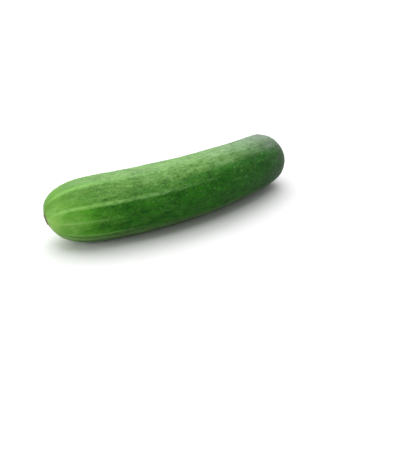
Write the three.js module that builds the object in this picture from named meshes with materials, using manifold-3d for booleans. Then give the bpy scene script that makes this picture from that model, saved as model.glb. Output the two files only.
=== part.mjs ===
// A whole slicing cucumber, lying on its side on a flat surface.
//
// Millimetres, +Z up. +X runs from the blossom end, which has a small round scar, to the stem end,
// which keeps a cut stub of stalk. The fruit curves sideways, with its hollow side facing +Y. The
// origin is on the surface it lies on, under the middle of the fruit's bounding box.
//
// The fruit is one piece. It is turned as a straight lathe form, ribbed and bent onto its curved
// centreline, laid down, and flattened a little where its own weight presses it onto the surface.
import * as THREE from "three";
import { mergeVertices } from "three/addons/utils/BufferGeometryUtils.js";
import Module from "manifold-3d";

// The fruit, measured along its centreline from the blossom end.
const FRUIT_LENGTH = 210;
const GREATEST_RADIUS = 25;
const WIDEST_AT = 0.32; // share of the length
const STEM_TAPER = 0.2; // share of the radius lost by the stem end
const BLOSSOM_CAP = { length: 46, bluntness: 2.65 };
const STEM_CAP = { length: 20, bluntness: 3.1 };
const SCAR = { radius: 4.3, dish: 0.5 };
const STALK = { foot: 5.2, radius: 3.3, length: 5.5, rounding: 0.6, angles: 5, fluting: 0.08 };

// The ribs that run along the fruit, as angles round it: 90 is its top and 180 its bulging side.
const RIB_ANGLES = [0, 36, 74, 113, 155, 182, 211, 260, 295, 327];
const RIB_FLATTENING = 0.45; // 0 is round between two ribs, and 1 is a straight side

// How the centreline curves, in degrees.
const SWEEP = 46; // from end to end, sideways
const BLOSSOM_NOD = { angle: 18, reach: 35 }; // the blossom end's droop, and how far it reaches

// How the fruit lies, in degrees, and how far its weight flattens it. A bent fruit rolls over
// towards its hollow side until it is steady on two places, one near each end.
const ROLL_AT_REST = -6.8;
const PITCH_AT_REST = 1.12;
const CONTACT_FLATTENING = 0.3;

// Fineness of the faceted surface.
const SEGMENTS_ROUND = 60;
const CAP_RINGS = 12;
const MIDDLE_RINGS = 26;
const NECK_RINGS = 4;
const CENTRELINE_STEPS = 240;
const MERGE_WITHIN = 1e-3;

const SKIN_COLOUR = 0x3f7a2a;

const radians = THREE.MathUtils.degToRad;
const degrees = THREE.MathUtils.radToDeg;

// Radius of a rounded end cap, as a share of the body's, at a distance from its tip.
function capShare(distance, { length, bluntness }) {
  const inwards = Math.max(0, 1 - distance / length);
  return (1 - inwards ** bluntness) ** (1 / bluntness);
}

// Distance from a cap's tip at which it has a given share of the body's radius.
function capDistance(share, { length, bluntness }) {
  return length * (1 - (1 - share ** bluntness) ** (1 / bluntness));
}

const SCAR_PLANE = capDistance(SCAR.radius / GREATEST_RADIUS, BLOSSOM_CAP);
const STEM_RADIUS = GREATEST_RADIUS * (1 - STEM_TAPER);
const STALK_FOOT = FRUIT_LENGTH - capDistance(STALK.foot / STEM_RADIUS, STEM_CAP);
const STALK_END = STALK_FOOT + STALK.length;

function fruitRadius(along) {
  const widest = WIDEST_AT * FRUIT_LENGTH;
  const pastWidest = Math.max(0, (along - widest) / (FRUIT_LENGTH - widest));
  const body = GREATEST_RADIUS * (1 - STEM_TAPER * pastWidest ** 2);
  return body * capShare(along, BLOSSOM_CAP) * capShare(FRUIT_LENGTH - along, STEM_CAP);
}

// Distances along the fruit of its rings: even in the middle, and closing up towards each end.
function ringPlaces() {
  const capEnd = BLOSSOM_CAP.length;
  const capStart = FRUIT_LENGTH - STEM_CAP.length;
  const closingUp = (ring) => 1 - Math.cos(((ring / CAP_RINGS) * Math.PI) / 2);
  const places = [];
  for (let ring = 0; ring < CAP_RINGS; ring++) {
    places.push(SCAR_PLANE + (capEnd - SCAR_PLANE) * closingUp(ring));
  }
  for (let ring = 0; ring < MIDDLE_RINGS; ring++) {
    places.push(capEnd + ((capStart - capEnd) * ring) / MIDDLE_RINGS);
  }
  for (let ring = CAP_RINGS; ring >= 0; ring--) {
    places.push(STALK_FOOT - (STALK_FOOT - capStart) * closingUp(ring));
  }
  return places;
}

// The half outline of the straight fruit: x is the radius and y the distance along.
function outline() {
  const point = (radius, along) => new THREE.Vector2(radius, along);
  const scar = [
    point(0, SCAR_PLANE + SCAR.dish),
    point(SCAR.radius * 0.7, SCAR_PLANE + SCAR.dish * 0.7),
  ];
  const body = ringPlaces().map((along) => point(fruitRadius(along), along));
  const neck = new THREE.QuadraticBezierCurve(
    point(STALK.foot, STALK_FOOT),
    point(STALK.radius, STALK_FOOT),
    point(STALK.radius, STALK_FOOT + STALK.length / 2),
  );
  const stalk = [
    ...neck.getPoints(NECK_RINGS).slice(1),
    point(STALK.radius, STALK_END - STALK.rounding),
    point(STALK.radius - STALK.rounding, STALK_END),
    point(0, STALK_END),
  ];
  return [...scar, ...body, ...stalk];
}

// The ribs on either side of an angle, which is from 0 up to 360.
function ribsBeside(angle) {
  const last = RIB_ANGLES[RIB_ANGLES.length - 1];
  const around = [last - 360, ...RIB_ANGLES, RIB_ANGLES[0] + 360];
  const next = around.findIndex((rib) => rib > angle);
  return [around[next - 1], around[next]];
}

// The share of its lathe radius that the skin keeps at an angle: all on a rib, less in between.
function ribbedShare(angle) {
  const [before, after] = ribsBeside(angle);
  const across = (angle - before) / (after - before);
  const straightSide = 1 - Math.cos(radians((after - before) / 2));
  return 1 - RIB_FLATTENING * straightSide * 4 * across * (1 - across);
}

// The same for the stalk, which grows angular as it leaves the fruit.
function flutedShare(along, angle) {
  const grown = Math.min(1, (along - STALK_FOOT) / (STALK.length / 2));
  return 1 + STALK.fluting * grown * Math.cos(STALK.angles * radians(angle));
}

// The centreline, as a function from a distance along it to a place and the directions across it.
function centreline() {
  const step = STALK_END / CENTRELINE_STEPS;
  const place = new THREE.Vector3();
  const stations = [];
  for (let i = 0; i <= CENTRELINE_STEPS; i++) {
    const along = i * step;
    const heading = radians(SWEEP) * (along / FRUIT_LENGTH - 0.5);
    const nod = radians(BLOSSOM_NOD.angle) * Math.max(0, 1 - along / BLOSSOM_NOD.reach) ** 2;
    const forward = new THREE.Vector3(Math.cos(heading), Math.sin(heading), Math.tan(nod)).normalize();
    const side = new THREE.Vector3(-Math.sin(heading), Math.cos(heading), 0);
    const up = forward.clone().cross(side);
    stations.push({ place: place.clone(), forward, side, up });
    place.addScaledVector(forward, step);
  }
  return (along) => {
    const nearest = THREE.MathUtils.clamp(Math.round(along / step), 0, CENTRELINE_STEPS);
    const { place: start, forward, side, up } = stations[nearest];
    return { place: start.clone().addScaledVector(forward, along - nearest * step), side, up };
  };
}

// Bends and ribs the lathe form, whose axis is Y.
function bentFruit() {
  const geometry = new THREE.LatheGeometry(outline(), SEGMENTS_ROUND);
  geometry.deleteAttribute("normal");
  geometry.deleteAttribute("uv");
  const at = centreline();
  const points = geometry.getAttribute("position");
  const wholeTurn = 360;
  const segment = wholeTurn / SEGMENTS_ROUND;
  for (let i = 0; i < points.count; i++) {
    const along = points.getY(i);
    const turn = degrees(Math.atan2(points.getX(i), points.getZ(i)));
    const angle = (Math.round(turn / segment) * segment + wholeTurn) % wholeTurn;
    const share = along > STALK_FOOT ? flutedShare(along, angle) : ribbedShare(angle);
    const reach = share * Math.hypot(points.getX(i), points.getZ(i));
    const { place, side, up } = at(along);
    place.addScaledVector(side, reach * Math.cos(radians(angle)));
    place.addScaledVector(up, reach * Math.sin(radians(angle)));
    points.setXYZ(i, place.x, place.y, place.z);
  }
  return mergeVertices(geometry, MERGE_WITHIN);
}

// Turns the fruit to the way it lies, and stands it over the origin, pressed into the surface.
function laidDown(geometry) {
  geometry.rotateX(radians(ROLL_AT_REST));
  geometry.rotateY(radians(PITCH_AT_REST));
  geometry.computeBoundingBox();
  const { min, max } = geometry.boundingBox;
  geometry.translate(-(min.x + max.x) / 2, -(min.y + max.y) / 2, -min.z - CONTACT_FLATTENING);
  return geometry;
}

// Cuts away what lies below the surface, which leaves the flat place that the fruit rests on.
async function pressedFlat(geometry) {
  const wasm = await Module();
  wasm.setup();
  const solid = (shape) => {
    const vertProperties = new Float32Array(shape.getAttribute("position").array);
    const triVerts = new Uint32Array(shape.getIndex().array);
    return new wasm.Manifold(new wasm.Mesh({ numProp: 3, vertProperties, triVerts }));
  };
  const ground = new THREE.BoxGeometry(2 * FRUIT_LENGTH, FRUIT_LENGTH, FRUIT_LENGTH);
  ground.deleteAttribute("normal");
  ground.deleteAttribute("uv");
  ground.translate(0, 0, -FRUIT_LENGTH / 2);
  const fruit = solid(geometry).subtract(solid(mergeVertices(ground, MERGE_WITHIN))).getMesh();
  return new THREE.BufferGeometry()
    .setAttribute("position", new THREE.BufferAttribute(fruit.vertProperties, 3))
    .setIndex(new THREE.BufferAttribute(fruit.triVerts, 1));
}

const cucumber = new THREE.Mesh(
  await pressedFlat(laidDown(bentFruit())),
  new THREE.MeshStandardMaterial({ color: SKIN_COLOUR, roughness: 0.4, metalness: 0 }),
);
cucumber.name = "cucumber";

const part = new THREE.Group();
part.add(cucumber);
export default part;
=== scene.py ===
"""A whole slicing cucumber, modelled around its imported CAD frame.

It is laid out as an add-on: every size and colour that one might change is a property of a group
below, every step is an operator, and the panel lists them all. Lengths are in metres, and angles
are in radians except where degrees are named.

The fruit is drawn out ring by ring along X, from the scar at its blossom end to the cut face of its
stalk, while it is still straight. It is then subdivided, roughened, bent and laid on the surface.
"""

import math

import bmesh
import bpy
from bpy.props import FloatProperty, FloatVectorProperty, IntProperty, PointerProperty
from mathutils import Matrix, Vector


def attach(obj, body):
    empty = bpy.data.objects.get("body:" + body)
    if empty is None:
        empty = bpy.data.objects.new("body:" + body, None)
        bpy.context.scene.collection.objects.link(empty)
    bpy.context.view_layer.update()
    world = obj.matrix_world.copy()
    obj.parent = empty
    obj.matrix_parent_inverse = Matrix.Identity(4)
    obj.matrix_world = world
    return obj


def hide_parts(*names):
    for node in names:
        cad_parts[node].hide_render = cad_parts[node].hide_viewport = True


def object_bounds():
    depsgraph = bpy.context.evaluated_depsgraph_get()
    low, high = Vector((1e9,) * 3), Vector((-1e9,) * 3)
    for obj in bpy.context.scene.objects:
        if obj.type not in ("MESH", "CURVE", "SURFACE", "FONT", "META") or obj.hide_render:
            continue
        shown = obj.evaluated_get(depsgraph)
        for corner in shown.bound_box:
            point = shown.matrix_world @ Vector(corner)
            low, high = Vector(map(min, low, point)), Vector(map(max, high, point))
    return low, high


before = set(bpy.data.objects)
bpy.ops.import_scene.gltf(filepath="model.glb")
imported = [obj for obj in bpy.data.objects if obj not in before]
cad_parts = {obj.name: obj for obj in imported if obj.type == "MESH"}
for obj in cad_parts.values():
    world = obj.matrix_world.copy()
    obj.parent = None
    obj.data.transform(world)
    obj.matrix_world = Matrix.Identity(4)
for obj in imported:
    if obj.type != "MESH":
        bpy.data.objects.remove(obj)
CAD_LOW, CAD_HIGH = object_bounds()

bl_info = {
    "name": "Whole Cucumber",
    "version": (1, 0, 0),
    "blender": (4, 5, 0),
    "location": "View3D > Sidebar > Cucumber",
    "description": "Models a whole cucumber in its CAD frame and lights it on a plain stage",
    "category": "Add Mesh",
}

BOX = CAD_HIGH - CAD_LOW
LENGTH_BY_BOX = 0.9857  # the fruit's length along its curve, by the length of its box
RADIUS_BY_BOX = 0.509  # its greatest radius, by the height of its box

SAME_PLACE = 1e-6  # two points on the straight fruit that are closer than this share a ring
ROUND_OFF = 6  # decimals that are kept of a ring's place
SMOOTH_UP_TO = math.radians(50)  # faces that meet at less than this angle are shaded as one
SKIN, SCAR, STALK = range(3)  # the piece's finishes, by their place in its list

# The ribs that run along the fruit, by their angle round it in degrees, where 90 is its top and 180
# its bulging side.
RIBS = (0, 36, 74, 113, 155, 182, 211, 260, 295, 327)

# The pale stripes, by angle: where each starts and ends, as shares of the fruit's length, the width
# of its half, and its strength. All but the three at 126, 141 and 228 lie on a rib. The broad one at
# 126 is a painted highlight, the band of light along the upper side, not a stripe in the skin.
STRIPES = {
    0: (0.03, 0.45, 0.0030, 0.6),
    36: (0.02, 0.55, 0.0036, 0.8),
    74: (0.03, 0.50, 0.0032, 0.5),
    113: (0.02, 0.56, 0.0031, 0.62),
    # painted highlight: the band of light along the upper side of the fruit
    126: (0.30, 1.10, 0.0055, 0.30),
    141: (0.60, 0.98, 0.0014, 0.35),
    155: (0.015, 0.68, 0.0025, 1.0),
    182: (0.02, 0.28, 0.0022, 1.0),
    211: (0.03, 0.42, 0.0024, 0.8),
    228: (0.00, 0.42, 0.0048, 0.90),
    260: (0.03, 0.45, 0.0030, 0.6),
    295: (0.02, 0.60, 0.0034, 0.8),
    327: (0.03, 0.45, 0.0030, 0.6),
}

# How far the pale green gives way to the deep green round the fruit, by angle in degrees: by the
# blossom end, and by the stem. The first number turns into the second between the two shares of the
# fruit's length that follow. This is partly the skin's own pale and deep green and partly painted
# light: the deep green from 141 to 208 degrees is darkened as painted shade, the pale top from 60 to
# 130 stands in part for a painted highlight, and the paler band at 222 to 240 is painted light
# bounced up from the floor.
DEEP_GREEN_AND_PAINTED_SHADE = {
    0: (0.40, 0.45),
    30: (0.15, 0.20),
    60: (0.05, 0.10),
    105: (0.00, 0.00),
    130: (0.05, 0.05),
    # from here to 208 the deep green is darkened as painted shade
    141: (0.25, 0.90),
    153: (0.30, 0.95),
    160: (0.85, 1.00),
    208: (0.95, 1.00),
    # 222 and 240 are paled as painted light bounced up from the floor
    222: (0.40, 0.60),
    240: (0.30, 0.60),
    290: (0.60, 0.70),
    330: (0.70, 0.75),
    360: (0.40, 0.45),
}
BLOSSOM_DEEP_AND_SHADE_TO, STEM_DEEP_AND_SHADE_FROM = 0.2, 0.6

# Where along the fruit each of the five pale and five deep greens is at its purest, by share.
GREENS_AT = (0.02, 0.11, 0.25, 0.55, 0.92)

# The rings of the blossom scar from its middle outwards: the radius, by the scar's, and how far in
# the ring lies, by the depth of the dish. Below 0 it stands out: a nub in the middle, and the rim.
SCAR_PROFILE = (
    (0.08, -0.3),
    (0.20, 0.0),
    (0.30, 0.9),
    (0.50, 0.8),
    (0.68, -0.2),
    (0.82, -1.5),
    (0.92, -1.6),
    (1.00, -0.5),
)

# The rings of the stalk above its flared foot, to the middle of its dished cut face: the radius, by
# the stalk's, and the height, by its length.
STALK_PROFILE = (
    (1.0, 0.75),
    (1.0, 0.93),
    (0.97, 0.985),
    (0.88, 1.0),
    (0.75, 0.985),
    (0.45, 0.975),
    (0.2, 0.985),
)
FLARE_STEPS = (0.2, 0.45, 0.75, 1.0)  # the rings of the flare, by its height
FLARE_HEIGHT = 0.5  # by the length of the stalk

# The soft lights: how high each stands over the floor, how far behind the fruit and how far to its
# left as the camera sees it, and how wide its square is. The stage holds the power of each.
LIGHTS = {
    "overhead": {"above": 1.4, "behind": 0.0, "left": 0.0, "width": 1.4},
    "back": {"above": 1.0, "behind": 1.2, "left": 0.0, "width": 1.6},
    "side": {"above": 1.2, "behind": 0.3, "left": 1.2, "width": 1.2},
    "fill": {"above": 0.35, "behind": -0.6, "left": 1.2, "width": 0.6},
}
FLOOR_SEGMENTS = 96


# ---------------------------------------------------------------------------------------------
# What a user would change
# ---------------------------------------------------------------------------------------------


def length_property(name, description, default, **more):
    """A length in metres, shown in the scene's units."""
    more = {"min": 0.0, "precision": 4, **more}
    return FloatProperty(name=name, description=description, default=default, unit="LENGTH", **more)


def angle_property(name, description, degrees):
    """An angle, given here in degrees and kept in radians."""
    return FloatProperty(
        name=name, description=description, default=math.radians(degrees), subtype="ANGLE"
    )


def share_property(name, description, default):
    """A share from 0 to 1."""
    return FloatProperty(
        name=name, description=description, default=default, min=0.0, max=1.0, subtype="FACTOR"
    )


def number_property(name, description, default, least=0.0):
    """A plain number."""
    return FloatProperty(name=name, description=description, default=default, min=least)


def power_property(name, description, default):
    """The power of a light in watts."""
    return FloatProperty(name=name, description=description, default=default, min=0.0, unit="POWER")


def colour_property(name, description, default):
    """A colour, as linear red, green and blue."""
    return FloatVectorProperty(
        name=name, description=description, default=default, min=0.0, max=1.0, size=3, subtype="COLOR"
    )


class CucumberShape(bpy.types.PropertyGroup):
    """The form of the fruit, measured along its centreline from the blossom end."""

    length: length_property("Length", "Length of the fruit along its curve", BOX.x * LENGTH_BY_BOX)
    radius: length_property("Greatest Radius", "Radius of the fruit at its widest", BOX.z * RADIUS_BY_BOX)
    widest_at: share_property("Widest At", "Where the fruit is widest, as a share of its length", 0.32)
    stem_taper: share_property("Stem Taper", "Share of the radius lost by the stem end", 0.2)
    blossom_cap: length_property("Blossom Cap", "How far the blossom end's rounding reaches", 0.046)
    blossom_bluntness: number_property(
        "Blossom Bluntness", "How blunt the rounding is, where 2 is an ellipse", 2.62, least=1.0
    )
    stem_cap: length_property("Stem Cap", "How far the stem end's rounding reaches", 0.020)
    stem_bluntness: number_property(
        "Stem Bluntness", "How blunt the rounding is, where 2 is an ellipse", 3.1, least=1.0
    )
    rib_flattening: share_property(
        "Rib Flattening", "0 leaves the skin round between two ribs, and 1 makes it straight", 0.45
    )
    rib_fading: share_property("Rib Fading", "How far the ribs have faded at the stem end", 0.65)
    rib_fading_from: share_property("Ribs Fade From", "Where the ribs start to fade, by the length", 0.4)
    sweep: angle_property("Sweep", "How far the fruit curves sideways, from end to end", 46)
    nod: angle_property("Nod", "How far the tip of the blossom end droops", 18)
    nod_reach: length_property("Nod Reach", "How far along the fruit the droop reaches", 0.035)
    roll: angle_property("Roll", "How far the fruit rolls towards its hollow side at rest", -6.8)
    pitch: angle_property("Pitch", "How far the stem end is lowered at rest", 1.12)
    pressed: length_property("Pressed", "How far the fruit's weight flattens its underside", 0.0003)
    scar_radius: length_property("Scar Radius", "Radius of the blossom scar", 0.0043)
    scar_dish: length_property("Scar Dish", "How far the blossom scar is sunk in its middle", 0.0005)
    stalk_foot: length_property("Stalk Foot", "Radius of the stalk where it joins the fruit", 0.0052)
    stalk_radius: length_property("Stalk Radius", "Radius of the stalk above its foot", 0.0033)
    stalk_length: length_property("Stalk Length", "Length of the stub of stalk", 0.0055)
    stalk_fluting: share_property("Stalk Fluting", "How angular the stalk is, by radius", 0.05)


class CucumberRelief(bpy.types.PropertyGroup):
    """The unevenness of the skin, as real relief."""

    swell_height: length_property("Swell Height", "Height of the broad unevenness", 0.0005)
    swell_size: length_property("Swell Size", "Width of the broad unevenness", 0.024)
    crease_height: length_property("Crease Height", "Height of the long faint creases", 0.00022)
    crease_size: length_property("Crease Size", "Width of the long faint creases", 0.0035)
    wart_height: length_property("Wart Height", "Height of the low warts", 0.00022, precision=5)
    crease_stretch: number_property("Crease Stretch", "Length of a crease, by its width", 11.0, least=1.0)
    wart_size: length_property("Wart Spacing", "Distance between neighbouring warts", 0.0046)
    wart_width: share_property("Wart Width", "How far a wart spreads, by the spacing", 0.42)
    segments: IntProperty(name="Segments", description="Points round each ring", default=72, min=20)
    smoothing: IntProperty(
        name="Smoothing", description="Levels of subdivision", default=2, min=0, max=3
    )


class CucumberSkin(bpy.types.PropertyGroup):
    """The colours and gloss of the skin."""

    # The pale greens are the upper side: partly the skin's own paler green, partly a painted highlight.
    pale_tip: colour_property("Pale Tip", "Upper skin round the scar", (0.123, 0.305, 0.031))
    pale_blossom: colour_property("Pale Blossom End", "Pale green, by the tip", (0.093, 0.258, 0.030))
    pale_body: colour_property("Pale Body", "Pale green of the body", (0.118, 0.292, 0.043))
    pale_middle: colour_property("Pale Middle", "Pale green of the middle", (0.137, 0.320, 0.058))
    pale_stem: colour_property("Pale Stem End", "Pale green of the stem end", (0.105, 0.22, 0.088))
    # The deep greens are the lower bulging side: partly the skin's own deeper green, partly painted shade.
    # The lower tip is paler than the upper as painted light bounced up from the floor.
    lower_tip_and_painted_bounce: colour_property("Deep Tip", "Lower skin round the scar", (0.265, 0.545, 0.10))
    deep_blossom: colour_property("Deep Blossom End", "Deep green, by the tip", (0.085, 0.355, 0.014))
    deep_body: colour_property("Deep Body", "Deep green of the body", (0.018, 0.165, 0.001))
    deep_middle: colour_property("Deep Middle", "Deep green of the middle", (0.016, 0.15, 0.001))
    deep_stem: colour_property("Deep Stem End", "Deep green of the stem end", (0.010, 0.098, 0.003))
    stripe_tip: colour_property("Stripe Tips", "The stripes at the blossom end", (0.255, 0.55, 0.11))
    stripe_body: colour_property("Stripes", "The pale stripes along the body", (0.225, 0.48, 0.16))
    halo_colour: colour_property("Halo", "Skin tinged by the blossom scar", (0.13, 0.095, 0.022))
    # painted reflection: the grey bloom colour stands partly for the white surroundings reflected at the
    # stem end
    bloom_and_reflection_colour: colour_property("Bloom", "The greyish bloom of the stem end", (0.19, 0.208, 0.185))
    sheen: share_property("Sheen", "How far the wax pales the skin where it turns away", 0.18)
    sheen_roughness: share_property("Sheen Roughness", "How far the sheen spreads from the edges", 0.35)
    sheen_colour: colour_property("Sheen Colour", "The paleness of the wax", (0.88, 0.86, 0.90))
    fleck_colour: colour_property("Flecks", "The small dark flecks", (0.020, 0.10, 0.006))
    dot_colour: colour_property("Dots", "The small pale dots", (0.33, 0.54, 0.23))
    mottling: share_property("Mottling", "How much the green varies from mark to mark", 0.52)
    roughness: share_property("Roughness", "Roughness of the waxy skin", 0.47)
    shine: share_property("Shine", "Strength of the skin's reflections, where 0.5 is usual", 0.2)


class CucumberMarks(bpy.types.PropertyGroup):
    """The sizes and strengths of the marks in the skin's colour."""

    cloud_size: length_property("Cloud Size", "Width of the broad clouds in the green", 0.014)
    cloud_reach: share_property("Cloud Reach", "How far clouds shift the green, by the length", 0.20)
    patch_size: length_property("Patch Size", "Width of the patches where two greens meet", 0.006)
    patchiness: share_property("Patchiness", "How far the patches mix the pale and deep green", 0.7)
    speckle_size: length_property("Speckle Size", "Width of the fine speckle", 0.0011)
    streak_size: length_property("Streak Size", "Width of the streaks", 0.0018)
    streak_share: share_property("Streak Share", "How strong the streaks are, by the speckle", 0.7)
    blotch_size: length_property("Blotch Size", "Width of the broad blotches", 0.0065)
    blotch_share: share_property("Blotch Share", "How strong the blotches are, by the speckle", 0.65)
    fleck_size: length_property("Fleck Spacing", "Distance between dark flecks", 0.0021)
    fleck_share: share_property("Fleck Share", "Share of the places that have a dark fleck", 0.6)
    fleck_patches: length_property("Fleck Patches", "Width of the patches of flecks", 0.012)
    dot_size: length_property("Dot Spacing", "Distance between pale dots", 0.0015)
    dot_share: share_property("Dot Share", "Share of the places that have a pale dot", 0.55)
    dot_patches: length_property("Dot Patches", "Width of the patches of dots", 0.009)
    dot_strength: share_property("Dot Strength", "How far the dots pale the skin", 0.28)
    tip_strength: share_property("Wart Tips", "How far the warts' tips pale the skin", 0.18)
    stripe_edge_size: length_property("Stripe Edge Size", "Length of the bays in the stripes' edges", 0.0035)
    stripe_raggedness: length_property("Stripe Raggedness", "Depth of the bays in their edges", 0.0022)
    stripe_speckle: length_property("Stripe Speckle", "Width of the gaps in the stripes", 0.0013)
    halo_edge_size: length_property("Halo Edge Size", "Width of the bays in the halo", 0.003)
    halo_raggedness: length_property("Halo Raggedness", "Depth of the bays in the halo", 0.0035)
    halo_strength: share_property("Halo Strength", "How far the halo browns the skin", 0.9)
    # The stem end's bloom is partly wax bloom and partly a painted reflection of the white surroundings.
    bloom_and_reflection_edge_size: length_property("Bloom Edge Size", "Width of the bays in the bloom", 0.004)
    bloom_and_reflection_wear_size: length_property("Bloom Wear Size", "Width of the bloom's worn spots", 0.005)
    bloom_and_reflection_strength: share_property("Bloom Strength", "How far the bloom greys the skin", 0.68)
    grain_size: length_property("Skin Grain", "Width of the skin's fine grain", 0.0011)
    grain_depth: length_property("Skin Grain Depth", "Depth of the skin's fine grain", 0.0002)


class CucumberEnds(bpy.types.PropertyGroup):
    """The colours and marks of the blossom scar and of the cut stalk."""

    scar_colour: colour_property("Scar", "The corky blossom scar", (0.27, 0.18, 0.09))
    scar_shade_colour: colour_property("Scar Pits", "The pits in the cork", (0.12, 0.07, 0.03))
    scar_rim_colour: colour_property("Scar Rim", "The scar's rim and cracks", (0.045, 0.024, 0.012))
    stalk_colour: colour_property("Stalk", "The side of the stalk", (0.085, 0.16, 0.035))
    cut_colour: colour_property("Cut Face", "The dried cut face of the stalk", (0.34, 0.33, 0.16))
    grain_size: length_property("Grain", "Width of the fine grain of both", 0.0006)
    crack_size: length_property("Crack Size", "Width of the scar's cracks at its rim", 0.0011)
    rim_edge_size: length_property("Rim Edge Size", "Width of the bays in the scar's rim", 0.0016)
    rim_raggedness: length_property("Rim Raggedness", "Depth of the bays in the rim", 0.0022)
    cork_depth: length_property("Cork Depth", "Depth of the scar's grain and cracks", 0.0003)
    stalk_depth: length_property("Stalk Grain Depth", "Depth of the stalk's ridges", 0.0002)
    pore_size: length_property("Pore Spacing", "Distance between the cut face's pores", 0.0007)
    vessel_ring: length_property("Vessel Ring", "Radius of the cut face's ring of vessels", 0.0027)
    dried_from: length_property("Dried From", "Where the cut face's dried edge starts", 0.0033)


class CucumberStage(bpy.types.PropertyGroup):
    """The camera, the floor and the lights."""

    azimuth: angle_property("Azimuth", "Where the camera stands round the fruit", -34.44)
    elevation: angle_property("Elevation", "How high the camera stands above the floor", 27.87)
    distance: length_property("Distance", "From the camera to the point it looks at", 0.9546)
    aim: FloatVectorProperty(
        name="Aim",
        description="The point on the floor that the camera looks at",
        default=(0.0027, -0.0281, 0.0),
        size=3,
        subtype="TRANSLATION",
    )
    lens: number_property("Lens", "Focal length in millimetres", 100.0, least=1.0)
    floor_radius: length_property("Floor Radius", "Radius of the round floor", 0.9)
    floor_colour: colour_property("Floor Colour", "The floor as it is seen", (0.93, 0.93, 0.93))
    bounce_colour: colour_property("Floor Bounce", "The floor as it lights the fruit", (0.40, 0.40, 0.40))
    overhead_power: power_property("Overhead Light", "The light over the fruit", 11.0)
    back_power: power_property("Back Light", "The wide light behind the fruit", 16.5)
    side_power: power_property("Side Light", "The light over the blossom end", 6.0)
    fill_power: power_property("Fill Light", "The small light beside the camera", 8.0)
    surroundings: number_property("Surroundings", "How strongly they light the fruit", 0.42)


# ---------------------------------------------------------------------------------------------
# The straight form of the fruit
# ---------------------------------------------------------------------------------------------


def cap_share(distance, length, bluntness):
    """Radius of a rounded end cap, as a share of the body's, at a distance from its tip."""
    inwards = max(0.0, 1.0 - distance / length)
    return (1.0 - inwards**bluntness) ** (1.0 / bluntness)


def cap_distance(share, length, bluntness):
    """Distance from a cap's tip at which it has a given share of the body's radius."""
    return length * (1.0 - (1.0 - share**bluntness) ** (1.0 / bluntness))


def scar_plane(shape):
    """Distance along the fruit of the rim of its blossom scar."""
    share = shape.scar_radius / shape.radius
    return cap_distance(share, shape.blossom_cap, shape.blossom_bluntness)


def stalk_foot_plane(shape):
    """Distance along the fruit of the foot of its stalk."""
    share = shape.stalk_foot / (shape.radius * (1.0 - shape.stem_taper))
    return shape.length - cap_distance(share, shape.stem_cap, shape.stem_bluntness)


def fruit_radius(shape, along):
    """Radius of the fruit on its ribs, at a distance along it."""
    widest = shape.widest_at * shape.length
    past_widest = max(0.0, (along - widest) / (shape.length - widest))
    body = shape.radius * (1.0 - shape.stem_taper * past_widest**2)
    blossom = cap_share(along, shape.blossom_cap, shape.blossom_bluntness)
    stem = cap_share(shape.length - along, shape.stem_cap, shape.stem_bluntness)
    return body * blossom * stem


def scar_rings(shape):
    """(distance along, radius) of the scar's rings, from its middle to its rim."""
    plane, radius, dish = scar_plane(shape), shape.scar_radius, shape.scar_dish
    return [(plane + sunk * dish, share * radius) for share, sunk in SCAR_PROFILE]


def body_rings(shape, cap_rings=13, middle_rings=38):
    """(distance along, radius) of the body's rings: even in the middle, closer towards each end."""
    start, end = scar_plane(shape), stalk_foot_plane(shape)
    cap_end, cap_start = shape.blossom_cap, shape.length - shape.stem_cap

    def closing_up(ring):
        return 1.0 - math.cos(ring / cap_rings * math.pi / 2)

    places = [start + (cap_end - start) * closing_up(ring) for ring in range(1, cap_rings)]
    places += [cap_end + (cap_start - cap_end) * ring / middle_rings for ring in range(middle_rings)]
    places += [end - (end - cap_start) * closing_up(ring) for ring in range(cap_rings, 0, -1)]
    return [(along, fruit_radius(shape, along)) for along in places]


def stalk_rings(shape):
    """(distance along, radius) of the rings of the stalk's foot, side and cut face."""
    foot, length = stalk_foot_plane(shape), shape.stalk_length
    flare = shape.stalk_foot - shape.stalk_radius
    rings = [(foot, shape.stalk_foot)]
    for step in FLARE_STEPS:
        radius = shape.stalk_radius + flare * (1.0 - step) ** 2
        rings.append((foot + length * FLARE_HEIGHT * step, radius))
    for share, height in STALK_PROFILE:
        rings.append((foot + length * height, shape.stalk_radius * share))
    return rings


def centred(shape, rings):
    """The rings, with distances measured from the middle of the fruit's length."""
    return [(along - shape.length / 2, radius) for along, radius in rings]


def rib_depth(shape, along):
    """How far the skin is flattened between two ribs, which fades towards the stem end."""
    faded = max(0.0, along / shape.length - shape.rib_fading_from) / (1.0 - shape.rib_fading_from)
    return shape.rib_flattening * (1.0 - shape.rib_fading * min(1.0, faded))


def ribbed_share(depth, angle):
    """The share of its radius that the skin keeps at an angle in degrees, which is all on a rib."""
    around = [RIBS[-1] - 360, *RIBS, RIBS[0] + 360]
    after = next(rib for rib in around if rib > angle)
    before = around[around.index(after) - 1]
    across = (angle - before) / (after - before)
    straight_side = 1.0 - math.cos(math.radians(after - before) / 2)
    return 1.0 - depth * straight_side * math.sin(math.pi * across) ** 2


def stalk_share(shape, angle, corners=5):
    """The share of its radius that the stalk has at an angle in degrees, with its round corners."""
    return 1.0 + shape.stalk_fluting * math.cos(corners * math.radians(angle))


# ---------------------------------------------------------------------------------------------
# Modelling steps
# ---------------------------------------------------------------------------------------------


def deselect_all():
    """Leaves Object Mode with nothing selected, so that an operator acts on one piece only."""
    if bpy.context.object and bpy.context.object.mode != "OBJECT":
        bpy.ops.object.mode_set(mode="OBJECT")
    bpy.ops.object.select_all(action="DESELECT")


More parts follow.
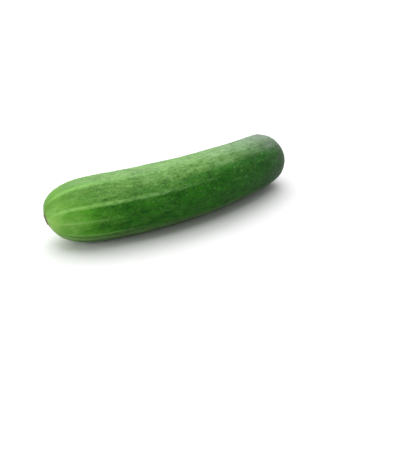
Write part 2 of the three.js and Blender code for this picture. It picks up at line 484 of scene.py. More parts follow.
def select_points(piece, wanted):
    """Selects the points of a mesh in Edit Mode for which wanted(point) is true, and no others."""
    bpy.ops.mesh.select_mode(type="VERT")
    bpy.ops.mesh.select_all(action="DESELECT")
    mesh = bmesh.from_edit_mesh(piece.data)
    for point in mesh.verts:
        point.select = wanted(point)
    mesh.select_flush_mode()
    bmesh.update_edit_mesh(piece.data, loop_triangles=False, destructive=False)


def angle_round(place):
    """Angle of a place round the X axis, in whole degrees from 0 up to 360."""
    return round(math.degrees(math.atan2(place.z, place.y))) % 360


def reshape_ring(piece, along, share_at):
    """Moves each selected point to share_at(its angle) of its distance from the ring's middle."""
    mesh = bmesh.from_edit_mesh(piece.data)
    ring = [(point.index, angle_round(point.co)) for point in mesh.verts if point.select]
    for index, angle in ring:
        select_points(piece, lambda point, index=index: point.index == index)
        share = share_at(angle)
        bpy.ops.transform.resize(value=(1.0, share, share), center_override=(along, 0.0, 0.0))
    chosen = {index for index, _ in ring}
    select_points(piece, lambda point: point.index in chosen)


def draw_out(rings, along, radius):
    """Extrudes the selected ring through a list of (distance along, radius)."""
    for next_along, next_radius in rings:
        bpy.ops.mesh.extrude_region_move(
            TRANSFORM_OT_translate={"value": (next_along - along, 0.0, 0.0)}
        )
        share = next_radius / radius
        bpy.ops.transform.resize(
            value=(1.0, share, share), center_override=(next_along, 0.0, 0.0)
        )
        along, radius = next_along, next_radius
    return along, radius


def start_scar(rings, segments):
    """The piece, with a closed disc in the middle of the blossom scar, and its edge selected."""
    along, radius = rings[0]
    bpy.ops.mesh.primitive_circle_add(
        vertices=segments,
        radius=radius,
        fill_type="TRIFAN",
        location=(along, 0.0, 0.0),
        rotation=(0.0, -math.pi / 2, 0.0),
    )
    piece = bpy.context.object
    piece.name = piece.data.name = "whole_cucumber"
    bpy.ops.object.transform_apply(location=True, rotation=True, scale=True)
    bpy.ops.object.mode_set(mode="EDIT")
    select_points(piece, lambda point: point.is_boundary)
    return piece


def draw_out_body(piece, shape, along, radius, depth, stretch=8):
    """Extrudes the body, and makes its ribs shallower after each stretch of rings where they fade."""
    body = centred(shape, body_rings(shape))
    for first in range(0, len(body), stretch):
        along, radius = draw_out(body[first : first + stretch], along, radius)
        before, depth = depth, rib_depth(shape, along + shape.length / 2)
        if depth < before:
            reshape_ring(
                piece, along, lambda angle: ribbed_share(depth, angle) / ribbed_share(before, angle)
            )
    return along, radius, depth


def straight_fruit(shape, segments):
    """The straight fruit as a closed mesh along X, with the middle of its length at the origin."""
    deselect_all()
    scar = centred(shape, scar_rings(shape))
    piece = start_scar(scar, segments)
    along, radius = scar[0]
    depth = rib_depth(shape, 0.0)
    reshape_ring(piece, along, lambda angle: ribbed_share(depth, angle))
    along, radius = draw_out(scar[1:], along, radius)
    along, radius, depth = draw_out_body(piece, shape, along, radius, depth)
    foot, *stalk = centred(shape, stalk_rings(shape))
    along, radius = draw_out(stalk[:1], along, radius)
    reshape_ring(piece, along, lambda angle: stalk_share(shape, angle) / ribbed_share(depth, angle))
    draw_out(stalk[1:], along, radius)
    bpy.ops.mesh.edge_face_add()
    bpy.ops.mesh.poke()
    bpy.ops.mesh.select_all(action="SELECT")
    bpy.ops.mesh.normals_make_consistent(inside=False)
    bpy.ops.object.mode_set(mode="OBJECT")
    return piece


def remember_straight_places(piece):
    """Keeps each point's place on the straight fruit, for the patterns that follow the skin."""
    grown = piece.data.attributes.new("grown", "FLOAT_VECTOR", "POINT")
    for point, place in zip(piece.data.vertices, grown.data):
        place.vector = point.co


def nod_blossom_end(piece, shape):
    """Bends the blossom end down, by turning what lies beyond each ring of it a little further."""
    rings = {round(point.co.x, ROUND_OFF) for point in piece.data.vertices}
    tip = -shape.length / 2
    scar_rim, bent_end = tip + scar_plane(shape), tip + shape.nod_reach
    bpy.ops.object.mode_set(mode="EDIT")
    turned = 0.0
    for x in sorted((x for x in rings if scar_rim <= x < bent_end), reverse=True):
        grown = bmesh.from_edit_mesh(piece.data).verts.layers.float_vector["grown"]
        select_points(piece, lambda point, x=x: point[grown].x < x + SAME_PLACE)
        turn = shape.nod * (1.0 - (x - tip) / shape.nod_reach) ** 2 - turned
        turned += turn
        pivot = ring_centre(piece, x)
        bpy.ops.transform.rotate(value=turn, orient_axis="Y", center_override=pivot)
    bpy.ops.object.mode_set(mode="OBJECT")


def ring_centre(piece, x):
    """The middle of the ring that was at X = x on the straight fruit."""
    mesh = bmesh.from_edit_mesh(piece.data)
    grown = mesh.verts.layers.float_vector["grown"]
    ring = [point.co for point in mesh.verts if abs(point[grown].x - x) < SAME_PLACE]
    return sum(ring, Vector()) / len(ring)


def finish_with(piece, kind, **settings):
    """Adds a modifier with these settings and applies it."""
    modifier = piece.modifiers.new(kind.title(), kind)
    for name, value in settings.items():
        setattr(modifier, name, value)
    bpy.ops.object.modifier_apply(modifier=modifier.name)


def relief_texture(name, kind, size, **settings):
    """A procedural texture for raising the skin."""
    texture = bpy.data.textures.new(name, kind)
    texture.noise_scale = size
    for setting, value in settings.items():
        setattr(texture, setting, value)
    return texture


def roughen(piece, relief):
    """Raises the skin's broad unevenness, long creases and low warts."""
    swell = relief_texture("swell", "CLOUDS", relief.swell_size, noise_depth=1)
    finish_with(piece, "DISPLACE", texture=swell, strength=relief.swell_height, mid_level=0.5)
    raise_creases(piece, relief)
    raise_warts(piece, relief)


def raise_creases(piece, relief):
    """Raises the creases: clouds, drawn out along the fruit by a helper that is then removed."""
    bpy.ops.object.empty_add(location=(0.0, 0.0, 0.0))
    stretch = bpy.context.object
    stretch.scale = (relief.crease_stretch, 1.0, 1.0)
    deselect_all()
    piece.select_set(True)
    bpy.context.view_layer.objects.active = piece
    bpy.context.view_layer.update()
    crease = relief_texture("crease", "CLOUDS", relief.crease_size, noise_depth=1)
    finish_with(
        piece,
        "DISPLACE",
        texture=crease,
        texture_coords="OBJECT",
        texture_coords_object=stretch,
        strength=relief.crease_height,
        mid_level=0.5,
    )
    bpy.data.objects.remove(stretch)


def raise_warts(piece, relief):
    """Raises the warts, and keeps on each point how far it was raised, from 0 to 1."""
    wart = relief_texture("wart", "VORONOI", relief.wart_size, use_color_ramp=True)
    ramp = wart.color_ramp
    ramp.interpolation = "EASE"
    ramp.elements[0].position = 0.0
    ramp.elements[0].color = (1.0, 1.0, 1.0, 1.0)
    ramp.elements[1].position = relief.wart_width
    ramp.elements[1].color = (0.0, 0.0, 0.0, 1.0)
    before = [point.co.copy() for point in piece.data.vertices]
    finish_with(piece, "DISPLACE", texture=wart, strength=relief.wart_height, mid_level=0.0)
    raised = piece.data.attributes.new("wart", "FLOAT", "POINT")
    for point, start, value in zip(piece.data.vertices, before, raised.data):
        value.value = (point.co - start).length / relief.wart_height


def bend_sideways(piece, shape):
    """Bends the fruit into one even curve round +Y."""
    xs = [point.co.x for point in piece.data.vertices]
    angle = shape.sweep * (max(xs) - min(xs)) / shape.length
    finish_with(piece, "SIMPLE_DEFORM", deform_method="BEND", deform_axis="Z", angle=angle)


def lay_down(piece, shape):
    """Rolls the fruit to the way it lies, in its place in the frame, and flattens its underside."""
    piece.rotation_euler = (shape.roll, shape.pitch, 0.0)
    bpy.ops.object.transform_apply(location=True, rotation=True, scale=True)
    places = [point.co for point in piece.data.vertices]
    low = Vector(min(place[axis] for place in places) for axis in range(3))
    high = Vector(max(place[axis] for place in places) for axis in range(3))
    middle = (CAD_LOW + CAD_HIGH) / 2 - (low + high) / 2
    piece.location = (middle.x, middle.y, -low.z - shape.pressed)
    bpy.ops.object.transform_apply(location=True, rotation=True, scale=True)
    bpy.ops.object.mode_set(mode="EDIT")
    select_points(piece, lambda point: point.co.z < 0.0)
    bpy.ops.transform.resize(value=(1.0, 1.0, 0.0), center_override=(0.0, 0.0, 0.0))
    bpy.ops.object.mode_set(mode="OBJECT")


def mark_stripes(piece, shape):
    """Keeps on each point how far off the nearest stripe is, what it is like, and how deep the green, which
    is partly painted shade.
    """
    names = ("from_stripe", "stripe_start", "stripe_end", "stripe_width", "stripe_strength", "deepness")
    for name in names:
        piece.data.attributes.new(name, "FLOAT", "POINT")
    kept = {name: piece.data.attributes[name].data for name in names}
    for index, place in enumerate(piece.data.attributes["grown"].data):
        x, y, z = place.vector
        angle = math.degrees(math.atan2(z, y)) % 360
        turns = {stripe: abs((angle - stripe + 180) % 360 - 180) for stripe in STRIPES}
        nearest = min(turns, key=turns.get)
        far = math.radians(turns[nearest]) * math.hypot(y, z)
        values = (far, *STRIPES[nearest], deep_green_and_shade_at(angle, x / shape.length + 0.5))
        for name, value in zip(names, values):
            kept[name][index].value = value


def deep_green_and_shade_at(angle, along):
    """How far the green is the deep one, which is partly painted shade and painted light, at an angle in
    degrees and a share of the length.
    """
    after = next(step for step in DEEP_GREEN_AND_PAINTED_SHADE if step > angle)
    before = max(step for step in DEEP_GREEN_AND_PAINTED_SHADE if step <= angle)
    share = (angle - before) / (after - before)
    halves = zip(DEEP_GREEN_AND_PAINTED_SHADE[before], DEEP_GREEN_AND_PAINTED_SHADE[after])
    blossom, stem = (first + (second - first) * share for first, second in halves)
    towards_stem = (along - BLOSSOM_DEEP_AND_SHADE_TO) / (STEM_DEEP_AND_SHADE_FROM - BLOSSOM_DEEP_AND_SHADE_TO)
    return blossom + (stem - blossom) * min(1.0, max(0.0, towards_stem))


# ---------------------------------------------------------------------------------------------
# Nodes that every finish uses
# ---------------------------------------------------------------------------------------------


def add_node(tree, kind, inputs=None, **settings):
    """Adds a node, with its settings, and its inputs as values or as sockets to link."""
    node = tree.nodes.new(kind)
    for name, value in settings.items():
        setattr(node, name, value)
    for name, value in (inputs or {}).items():
        socket = node.inputs[name]
        if isinstance(value, bpy.types.NodeSocket):
            tree.links.new(value, socket)
        else:
            socket.default_value = value
    return node


def rgba(colour):
    """A colour with its alpha."""
    return (*colour, 1.0)


def maths(tree, operation, *values, clamp=False):
    """The result of a Math node."""
    inputs = dict(enumerate(values))
    return add_node(tree, "ShaderNodeMath", inputs, operation=operation, use_clamp=clamp).outputs[0]


def product(tree, value, by):
    """One number times another."""
    return maths(tree, "MULTIPLY", value, by)


def between(tree, share, low, high):
    """A number that is low where the share is 0, and high where it is 1."""
    return maths(tree, "MULTIPLY_ADD", share, high - low, low)


def wavering(tree, value, waves, reach, clamp=False):
    """The value, moved by smooth noise to up to half the reach on either side of it."""
    off_centre = maths(tree, "SUBTRACT", waves, 0.5)
    return maths(tree, "MULTIPLY_ADD", off_centre, reach, value, clamp=clamp)


def eased(tree, value, start, end):
    """A smooth step of value, from 0 at start to 1 at end."""
    inputs = {"Value": value, "From Min": start, "From Max": end}
    return add_node(tree, "ShaderNodeMapRange", inputs, interpolation_type="SMOOTHSTEP").outputs[0]


def mixed(tree, share, first, second):
    """The mix of two colours."""
    inputs = {0: share, 6: first, 7: second}
    return add_node(tree, "ShaderNodeMix", inputs, data_type="RGBA").outputs[2]


def vector_maths(tree, operation, *vectors):
    """A Vector Math node."""
    return add_node(tree, "ShaderNodeVectorMath", dict(enumerate(vectors)), operation=operation)


def drawn_out(tree, grown, share):
    """The straight place with its length cut to a share, which draws a pattern out by as much."""
    return vector_maths(tree, "MULTIPLY", grown, (share, 1.0, 1.0)).outputs[0]


def off_axis(tree, grown):
    """The straight place without its length, and its distance from the middle of the fruit."""
    flat = drawn_out(tree, grown, share=0.0)
    return flat, vector_maths(tree, "LENGTH", flat).outputs["Value"]


def noise(tree, vector, size, detail=2.0, roughness=0.5):
    """Smooth noise from 0 to 1, whose grains are about size metres across."""
    inputs = {"Vector": vector, "Scale": 1.0 / size, "Detail": detail, "Roughness": roughness}
    return add_node(tree, "ShaderNodeTexNoise", inputs).outputs["Fac"]


def attribute(tree, name):
    """A number kept on each point of the piece."""
    return add_node(tree, "ShaderNodeAttribute", attribute_name=name).outputs["Fac"]


def new_group(name, inputs, outputs):
    """An empty shader node group with these named sockets."""
    group = bpy.data.node_groups.new(name, "ShaderNodeTree")
    for label, kind in inputs:
        group.interface.new_socket(label, in_out="INPUT", socket_type=kind)
    for label, kind in outputs:
        group.interface.new_socket(label, in_out="OUTPUT", socket_type=kind)
    start = group.nodes.new("NodeGroupInput").outputs
    end = group.nodes.new("NodeGroupOutput").inputs
    return group, start, end


def flecks_group():
    """Small round flecks on a share of the places where one could be."""
    inputs = [("Vector", "NodeSocketVector"), ("Size", "NodeSocketFloat"), ("Share", "NodeSocketFloat")]
    group, given, result = new_group("Flecks", inputs, [("Mask", "NodeSocketFloat")])
    scale = maths(group, "DIVIDE", 1.0, given["Size"])
    places = {"Vector": given["Vector"], "Scale": scale, "Randomness": 1.0}
    cells = add_node(group, "ShaderNodeTexVoronoi", places).outputs
    chances = add_node(group, "ShaderNodeSeparateColor", {"Color": cells["Color"]}).outputs
    present = maths(group, "LESS_THAN", chances["Red"], given["Share"])
    radius = between(group, chances["Green"], low=0.22, high=0.47)
    nearness = maths(group, "SUBTRACT", 1.0, maths(group, "DIVIDE", cells["Distance"], radius))
    shape = eased(group, nearness, start=0.0, end=0.55)
    group.links.new(product(group, shape, present), result["Mask"])
    return group


def grain_group(coarser=4.0, coarse_share=0.6):
    """Fine grain: a height for the bump, and a value that varies the finish with it."""
    inputs = [("Vector", "NodeSocketVector"), ("Size", "NodeSocketFloat")]
    outputs = [("Height", "NodeSocketFloat"), ("Variation", "NodeSocketFloat")]
    group, given, result = new_group("Fine Grain", inputs, outputs)
    scale = maths(group, "DIVIDE", 1.0, given["Size"])
    fine_inputs = {"Vector": given["Vector"], "Scale": scale, "Detail": 3.0}
    fine = add_node(group, "ShaderNodeTexNoise", fine_inputs).outputs["Fac"]
    coarse_scale = maths(group, "DIVIDE", scale, coarser)
    coarse_inputs = {"Vector": given["Vector"], "Scale": coarse_scale, "Detail": 1.0}
    coarse = add_node(group, "ShaderNodeTexNoise", coarse_inputs).outputs["Fac"]
    group.links.new(maths(group, "MULTIPLY_ADD", coarse, coarse_share, fine), result["Height"])
    group.links.new(product(group, coarse, fine), result["Variation"])
    return group


def flecks(tree, groups, vector, size, share):
    """A mask of small round flecks, from their group."""
    inputs = {"Vector": vector, "Size": size, "Share": share}
    return add_node(tree, "ShaderNodeGroup", inputs, node_tree=groups["flecks"]).outputs["Mask"]


def fine_grain(tree, groups, vector, size):
    """The height and the variation of fine grain, from its group."""
    inputs = {"Vector": vector, "Size": size}
    return add_node(tree, "ShaderNodeGroup", inputs, node_tree=groups["grain"]).outputs


def new_finish(name):
    """A material with its node tree, its shader and the straight fruit's coordinates."""
    material = bpy.data.materials.new(name)
    material.use_nodes = True
    tree = material.node_tree
    shader = tree.nodes["Principled BSDF"]
    grown = add_node(tree, "ShaderNodeAttribute", attribute_name="grown").outputs["Vector"]
    return material, tree, shader, grown


def link_finish(tree, shader, colour, roughness, height, depth, strength):
    """Links a finish's colour, its roughness and its relief, as a bump of this depth."""
    relief = {"Height": height, "Distance": depth, "Strength": strength}
    tree.links.new(colour, shader.inputs["Base Color"])
    tree.links.new(roughness, shader.inputs["Roughness"])
    bump = add_node(tree, "ShaderNodeBump", relief)
    tree.links.new(bump.outputs["Normal"], shader.inputs["Normal"])


def grainy_roughness(tree, grain, least, change=0.3):
    """A roughness that varies with the grain, from its least to a change more."""
    return between(tree, grain["Variation"], least, least + change)


# ---------------------------------------------------------------------------------------------
# Finishes
# ---------------------------------------------------------------------------------------------


def skin_finish(skin, marks, shape, groups):
    """Waxy green skin, paler towards the blossom end, striped along the ribs, mottled and flecked, with
    painted shade on its lower side, a painted highlight along its top and a painted reflection at the stem
    end.
    """
    material, tree, shader, grown = new_finish("cucumber_skin")
    x = add_node(tree, "ShaderNodeSeparateXYZ", {"Vector": grown}).outputs["X"]
    along = maths(tree, "MULTIPLY_ADD", x, 1.0 / shape.length, 0.5)
    streaky = drawn_out(tree, grown, share=0.3)
    colour = green_ground(tree, skin, marks, grown, along)
    colour = mottled(tree, skin, marks, colour, grown, streaky, along)
    stripe = stripe_mask(tree, marks, along, streaky)
    past_tip = eased(tree, along, start=0.1, end=0.4)
    stripes = mixed(tree, past_tip, rgba(skin.stripe_tip), rgba(skin.stripe_body))
    colour = mixed(tree, stripe, colour, stripes)
    colour = flecked(tree, skin, marks, groups, colour, grown, along)
    colour = mixed(tree, scar_halo(tree, marks, shape, grown, x), colour, rgba(skin.halo_colour))
    # painted reflection: the grey at the stem end is partly wax bloom and partly the surroundings'
    # reflection painted into the colour
    bloom = product(tree, stem_bloom_and_painted_reflection(tree, marks, grown, along), marks.bloom_and_reflection_strength)
    colour = mixed(tree, bloom, colour, rgba(skin.bloom_and_reflection_colour))
    grain = fine_grain(tree, groups, grown, marks.grain_size)
    grain_adds = 0.07  # what the grain adds to the roughness, on average
    rough = grainy_roughness(tree, grain, least=skin.roughness - grain_adds)
    link_finish(tree, shader, colour, rough, grain["Height"], depth=marks.grain_depth, strength=0.5)
    shader.inputs["Specular IOR Level"].default_value = skin.shine
    shader.inputs["Sheen Weight"].default_value = skin.sheen
    shader.inputs["Sheen Roughness"].default_value = skin.sheen_roughness
    shader.inputs["Sheen Tint"].default_value = rgba(skin.sheen_colour)
    return material


def green_ground(tree, skin, marks, grown, along):
    """The ground colour: a pale and a deep green, each changing along the fruit, side by side. The deep side
    is partly painted shade and the pale top partly a painted highlight.
    """
    clouds = noise(tree, grown, marks.cloud_size)
    uneven = wavering(tree, along, clouds, marks.cloud_reach)
    pales = (skin.pale_tip, skin.pale_blossom, skin.pale_body, skin.pale_middle, skin.pale_stem)
    deeps = (skin.lower_tip_and_painted_bounce, skin.deep_blossom, skin.deep_body, skin.deep_middle, skin.deep_stem)
    pale, deep = colour_ramp(tree, uneven, pales), colour_ramp(tree, uneven, deeps)
    patches = noise(tree, drawn_out(tree, grown, share=0.4), marks.patch_size)
    # painted shade and light: this mask darkens the lower side and pales the top as the light falls
    deepness = wavering(tree, attribute(tree, "deepness"), patches, marks.patchiness, clamp=True)
    return mixed(tree, deepness, pale, deep)


def colour_ramp(tree, value, colours):
    """A colour that changes with a value, through one green after another."""
    node = add_node(tree, "ShaderNodeValToRGB", {"Fac": value})
    steps = node.color_ramp.elements
    ready_made = len(steps)
    for index, (place, colour) in enumerate(zip(GREENS_AT, colours)):
        step = steps[index] if index < ready_made else steps.new(place)
        step.position = place
        step.color = rgba(colour)
    return node.outputs["Color"]


def mottled(tree, skin, marks, colour, grown, streaky, along):
    """Fine speckle, streaks and broad blotches, all faint near the tip.

    Red and blue change by more than green does, so a lighter mark is also greyer.
    """
    speckle = noise(tree, drawn_out(tree, grown, share=0.7), marks.speckle_size, roughness=0.6)
    streak = noise(tree, streaky, marks.streak_size, roughness=0.6)
    blotch = noise(tree, drawn_out(tree, grown, share=0.6), marks.blotch_size)
    total = maths(tree, "MULTIPLY_ADD", blotch, marks.blotch_share, speckle)
    total = maths(tree, "MULTIPLY_ADD", streak, marks.streak_share, total)
    from_darkest_to_lightest = {"From Min": 0.87, "From Max": 1.48}
    inputs = {"Value": total, **from_darkest_to_lightest, "To Min": -skin.mottling, "To Max": skin.mottling}
    change = add_node(tree, "ShaderNodeMapRange", inputs).outputs[0]
    fading = between(tree, eased(tree, along, start=0.04, end=0.22), low=0.25, high=1.0)
    light = maths(tree, "MULTIPLY_ADD", change, fading, 1.0)
    red_light, blue_light = maths(tree, "POWER", light, 1.5), maths(tree, "POWER", light, 2.2)
    channels = {"X": red_light, "Y": light, "Z": blue_light}
    light = add_node(tree, "ShaderNodeCombineXYZ", channels).outputs[0]
    return vector_maths(tree, "MULTIPLY", colour, light).outputs[0]


def stripe_mask(tree, marks, along, streaky):
    """The pale stripes: ragged at their edges, broken up, and fading in and out along the fruit."""
    bays = noise(tree, streaky, marks.stripe_edge_size, detail=3.0)
    far = wavering(tree, attribute(tree, "from_stripe"), bays, marks.stripe_raggedness)
    share = maths(tree, "DIVIDE", far, attribute(tree, "stripe_width"))
    across = eased(tree, share, start=0.85, end=0.05)
    past_start = maths(tree, "SUBTRACT", along, attribute(tree, "stripe_start"))
    begun = eased(tree, past_start, start=-0.01, end=0.04)
    travelled = maths(tree, "DIVIDE", along, attribute(tree, "stripe_end"))
    lengthways = product(tree, begun, eased(tree, travelled, start=1.0, end=0.2))
    gaps_to = between(tree, travelled, low=0.25, high=0.45)
    softness = 0.22
    whole_from = maths(tree, "ADD", gaps_to, softness)
    broken = eased(tree, noise(tree, streaky, marks.stripe_speckle), gaps_to, whole_from)
    least = between(tree, eased(tree, along, start=0.1, end=0.5), low=0.6, high=0.15)
    kept = maths(tree, "MAXIMUM", broken, least)
    strength = product(tree, attribute(tree, "stripe_strength"), kept)
    return product(tree, product(tree, across, lengthways), strength)


def flecked(tree, skin, marks, groups, colour, grown, along):
    """Small dark flecks in patches, faint pale dots in others, and pale tips on the warts."""
    dark = flecks(tree, groups, drawn_out(tree, grown, share=0.6), marks.fleck_size, marks.fleck_share)
    patches = eased(tree, noise(tree, grown, marks.fleck_patches), start=0.36, end=0.62)
    patches = between(tree, patches, low=0.12, high=0.47)
    patches = product(tree, patches, eased(tree, along, start=0.08, end=0.2))
    colour = mixed(tree, product(tree, dark, patches), colour, rgba(skin.fleck_colour))
    dots = flecks(tree, groups, grown, marks.dot_size, marks.dot_share)
    patches = eased(tree, noise(tree, grown, marks.dot_patches), start=0.40, end=0.65)
    dots = product(tree, product(tree, dots, patches), marks.dot_strength)
    tips = eased(tree, attribute(tree, "wart"), start=0.3, end=0.9)
    tips = product(tree, tips, eased(tree, along, start=0.1, end=0.4))
    tips = product(tree, tips, marks.tip_strength)
    return mixed(tree, maths(tree, "MAXIMUM", dots, tips), colour, rgba(skin.dot_colour))


def stem_bloom_and_painted_reflection(tree, marks, grown, along):
    """The greyish bloom that dulls the rounded stem end, and reaches further along its pale side: partly wax
    bloom, partly a painted reflection of the white surroundings.
    """
    bays = noise(tree, grown, marks.bloom_and_reflection_edge_size, detail=3.0)
    place = wavering(tree, along, bays, reach=0.10)
    lag_of_deep_green = -0.06
    place = maths(tree, "MULTIPLY_ADD", attribute(tree, "deepness"), lag_of_deep_green, place)
    along_pale_side = product(tree, eased(tree, place, start=0.78, end=0.96), by=0.7)
    over_the_end = product(tree, eased(tree, place, start=0.88, end=0.98), by=0.55)
    bloom = maths(tree, "MAXIMUM", along_pale_side, over_the_end)
    wear = noise(tree, grown, marks.bloom_and_reflection_wear_size, detail=3.0)
    kept = between(tree, eased(tree, wear, start=0.36, end=0.60), low=0.60, high=1.15)
    return product(tree, bloom, kept)


def scar_halo(tree, marks, shape, grown, x):
    """The skin right round the blossom scar, tinged with its brown."""
    _, reach = off_axis(tree, grown)
    bays = noise(tree, grown, marks.halo_edge_size, detail=3.0)
    ragged = maths(tree, "MULTIPLY_ADD", bays, marks.halo_raggedness, reach)
    near = eased(tree, ragged, start=shape.scar_radius * 2.7, end=shape.scar_radius * 1.7)
    at_blossom_end = maths(tree, "LESS_THAN", x, 0.0)
    return product(tree, product(tree, near, at_blossom_end), marks.halo_strength)


def scar_finish(ends, shape, groups):
    """Dry cork: tan, with dark cracks that run out from its middle, and a dark uneven rim."""
    material, tree, shader, grown = new_finish("blossom_scar_cork")
    flat, reach = off_axis(tree, grown)
    outwards = vector_maths(tree, "NORMALIZE", flat).outputs[0]
    rays = vector_maths(tree, "MULTIPLY", outwards, (shape.scar_radius,) * 3).outputs[0]
    cracks = noise(tree, rays, ends.crack_size, roughness=0.7)
    cracks = product(tree, eased(tree, cracks, start=0.50, end=0.66), by=0.8)
    bays = noise(tree, grown, ends.rim_edge_size)
    ragged = maths(tree, "MULTIPLY_ADD", bays, ends.rim_raggedness, reach)
    rim = eased(tree, ragged, start=shape.scar_radius * 0.90, end=shape.scar_radius * 1.15)
    dark = maths(tree, "MAXIMUM", cracks, rim)
    grain = fine_grain(tree, groups, grown, ends.grain_size)
    out_of_pits = eased(tree, grain["Variation"], start=0.20, end=0.34)
    colour = mixed(tree, out_of_pits, rgba(ends.scar_shade_colour), rgba(ends.scar_colour))
    colour = mixed(tree, dark, colour, rgba(ends.scar_rim_colour))
    height = maths(tree, "SUBTRACT", grain["Height"], product(tree, dark, by=0.8))
    rough = grainy_roughness(tree, grain, least=0.7)
    link_finish(tree, shader, colour, rough, height, depth=ends.cork_depth, strength=0.9)
    return material


def stalk_finish(ends, shape, groups):
    """Dull green stalk with fine ridges, and the dry pale cut face at its end."""
    material, tree, shader, grown = new_finish("cut_stalk")
    x = add_node(tree, "ShaderNodeSeparateXYZ", {"Vector": grown}).outputs["X"]
    end = stalk_foot_plane(shape) + shape.stalk_length - shape.length / 2
    on_cut = eased(tree, x, start=end - 0.0005, end=end - 0.0001)
    cut = cut_face(tree, ends, groups, grown)
    colour = mixed(tree, on_cut, rgba(ends.stalk_colour), cut)
    grain = fine_grain(tree, groups, drawn_out(tree, grown, share=0.3), ends.grain_size)
    rough = grainy_roughness(tree, grain, least=0.55)
    link_finish(tree, shader, colour, rough, grain["Height"], depth=ends.stalk_depth, strength=0.8)
    return material


def cut_face(tree, ends, groups, grown):
    """The cut face: pale with darker pores, a thin ring of vessels and a dried edge."""
    pores = product(tree, flecks(tree, groups, grown, ends.pore_size, share=0.6), by=0.6)
    cut = mixed(tree, pores, rgba(ends.cut_colour), rgba(ends.scar_colour))
    _, reach = off_axis(tree, grown)
    bay_size, bay_depth, soft_edge = 0.0010, 0.0012, 0.0005
    bays = noise(tree, grown, bay_size)
    reach = maths(tree, "MULTIPLY_ADD", bays, bay_depth, reach)
    off_ring = maths(tree, "ABSOLUTE", maths(tree, "SUBTRACT", reach, ends.vessel_ring))
    ring = product(tree, eased(tree, off_ring, start=0.0006, end=0.0001), by=0.55)
    dried = eased(tree, reach, start=ends.dried_from, end=ends.dried_from + soft_edge)
    dried = product(tree, dried, by=0.75)
    return mixed(tree, maths(tree, "MAXIMUM", ring, dried), cut, rgba(ends.scar_shade_colour))


def paint(piece, shape, finishes):
    """Gives the scar and the stalk their own finishes, and the rest the skin."""
    for finish in finishes:
        piece.data.materials.append(finish)
    grown = piece.data.attributes["grown"].data
    past_rim, past_foot = 1.5, 0.1  # by the depth of the scar's dish, and by the stalk's length
    scar_end = scar_plane(shape) + shape.scar_dish * past_rim - shape.length / 2
    stalk_start = stalk_foot_plane(shape) + shape.stalk_length * past_foot - shape.length / 2
    for face in piece.data.polygons:
        places = [grown[index].vector for index in face.vertices]
        x, y, z = sum(places, Vector()) / len(places)
        on_scar = x < scar_end and math.hypot(y, z) < shape.scar_radius
        face.material_index = SCAR if on_scar else STALK if x > stalk_start else SKIN


# ---------------------------------------------------------------------------------------------
# Operators
# ---------------------------------------------------------------------------------------------


class CUCUMBER_OT_model_fruit(bpy.types.Operator):
    """Model the whole cucumber in its place in the CAD frame, with its finishes"""

    bl_idname = "cucumber.model_fruit"
    bl_label = "Model Cucumber"

    def execute(self, context):
        scene = context.scene
        shape, relief = scene.cucumber_shape, scene.cucumber_relief
        piece = straight_fruit(shape, relief.segments)
        remember_straight_places(piece)
        nod_blossom_end(piece, shape)
        finish_with(piece, "SUBSURF", levels=relief.smoothing, render_levels=relief.smoothing)
        roughen(piece, relief)
        bend_sideways(piece, shape)
        lay_down(piece, shape)
        mark_stripes(piece, shape)
        bpy.ops.object.shade_smooth_by_angle(angle=SMOOTH_UP_TO)
        groups = {"flecks": flecks_group(), "grain": grain_group()}
        finishes = [
            skin_finish(scene.cucumber_skin, scene.cucumber_marks, shape, groups),
            scar_finish(scene.cucumber_ends, shape, groups),
            stalk_finish(scene.cucumber_ends, shape, groups),
        ]
        paint(piece, shape, finishes)
        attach(piece, "root")
        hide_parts("cucumber")
        return {"FINISHED"}


class CUCUMBER_OT_set_stage(bpy.types.Operator):
    """Add the floor, the soft lights and the camera"""

    bl_idname = "cucumber.set_stage"
    bl_label = "Set Stage"

    def execute(self, context):
        scene = context.scene
        stage = scene.cucumber_stage
        scene.view_settings.view_transform = "Standard"
        add_floor(stage)
        add_surroundings(scene, stage)
        camera_side = Vector((math.sin(stage.azimuth), -math.cos(stage.azimuth), 0.0))
        right_side = Vector((math.cos(stage.azimuth), math.sin(stage.azimuth), 0.0))
        for name, light in LIGHTS.items():
            place = -light["behind"] * camera_side - light["left"] * right_side
            place.z = light["above"]
            power = getattr(stage, f"{name}_power")
            add_soft_light(f"{name}_light", place, power, light["width"])
        add_camera(scene, stage)
        return {"FINISHED"}


def add_floor(stage):
    """A round pale floor, which gives the fruit less light than it shows, as black cards would."""
    deselect_all()
    bpy.ops.mesh.primitive_circle_add(
        vertices=FLOOR_SEGMENTS, radius=stage.floor_radius, fill_type="NGON"
    )
    floor = bpy.context.object
    floor.name = "floor"
    material = bpy.data.materials.new("pale_floor")
    material.use_nodes = True
    tree = material.node_tree
    seen = add_node(tree, "ShaderNodeLightPath").outputs["Is Camera Ray"]
    colour = mixed(tree, seen, rgba(stage.bounce_colour), rgba(stage.floor_colour))
    shader = tree.nodes["Principled BSDF"]
    tree.links.new(colour, shader.inputs["Base Color"])
    shader.inputs["Roughness"].default_value = 1.0
    shader.inputs["Specular IOR Level"].default_value = 0.0
    floor.data.materials.append(material)


def add_surroundings(scene, stage):
    """White surroundings, which give the fruit less light than they show."""
    scene.world = bpy.data.worlds.new("white_surroundings")
    scene.world.use_nodes = True
    tree = scene.world.node_tree
    seen = add_node(tree, "ShaderNodeLightPath").outputs["Is Camera Ray"]
    strength = maths(tree, "MAXIMUM", seen, stage.surroundings)
    background = tree.nodes["Background"]
    background.inputs["Color"].default_value = (1.0, 1.0, 1.0, 1.0)
    tree.links.new(strength, background.inputs["Strength"])


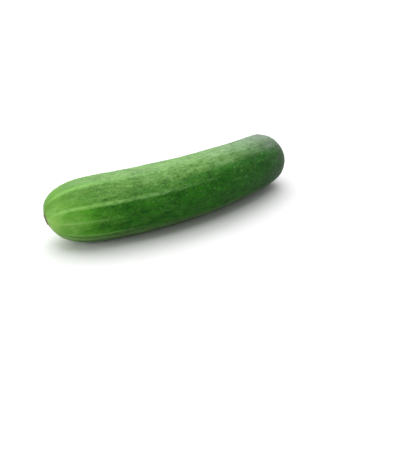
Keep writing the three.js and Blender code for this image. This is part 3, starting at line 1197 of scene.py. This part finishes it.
def add_soft_light(name, place, power, size):
    """A square soft light that faces the middle of the floor."""
    bpy.ops.object.light_add(type="AREA", location=place)
    lamp = bpy.context.object
    lamp.name = name
    lamp.data.energy = power
    lamp.data.size = size
    lamp.rotation_euler = (-place).to_track_quat("-Z", "Y").to_euler()


def add_camera(scene, stage):
    """The camera, looking down at the point it aims at."""
    level, height = math.cos(stage.elevation), math.sin(stage.elevation)
    back = Vector((math.sin(stage.azimuth) * level, -math.cos(stage.azimuth) * level, height))
    bpy.ops.object.camera_add(location=Vector(stage.aim) + stage.distance * back)
    camera = bpy.context.object
    camera.name = "camera"
    camera.rotation_euler = (-back).to_track_quat("-Z", "Y").to_euler()
    camera.data.lens = stage.lens
    scene.camera = camera


class CUCUMBER_PT_panel(bpy.types.Panel):
    """Lists the sizes, the colours and the steps"""

    bl_idname = "CUCUMBER_PT_panel"
    bl_label = "Cucumber"
    bl_space_type = "VIEW_3D"
    bl_region_type = "UI"
    bl_category = "Cucumber"

    def draw(self, context):
        for name, kind in GROUPS.items():
            box = self.layout.box()
            box.label(text=kind.__name__.replace("Cucumber", ""))
            for label in kind.__annotations__:
                box.prop(getattr(context.scene, name), label)
        for step in STEPS:
            self.layout.operator(step.bl_idname)


GROUPS = {
    "cucumber_shape": CucumberShape,
    "cucumber_relief": CucumberRelief,
    "cucumber_skin": CucumberSkin,
    "cucumber_marks": CucumberMarks,
    "cucumber_ends": CucumberEnds,
    "cucumber_stage": CucumberStage,
}
STEPS = (CUCUMBER_OT_model_fruit, CUCUMBER_OT_set_stage)
CLASSES = (*GROUPS.values(), *STEPS, CUCUMBER_PT_panel)


def register():
    """Adds the classes, and the properties to the scene."""
    for kind in CLASSES:
        bpy.utils.register_class(kind)
    for name, kind in GROUPS.items():
        setattr(bpy.types.Scene, name, PointerProperty(type=kind))


def unregister():
    """Takes the properties and the classes away."""
    for name in GROUPS:
        delattr(bpy.types.Scene, name)
    for kind in reversed(CLASSES):
        bpy.utils.unregister_class(kind)


def main():
    """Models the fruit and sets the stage."""
    register()
    bpy.ops.cucumber.model_fruit()
    bpy.ops.cucumber.set_stage()


if __name__ == "__main__":
    main()
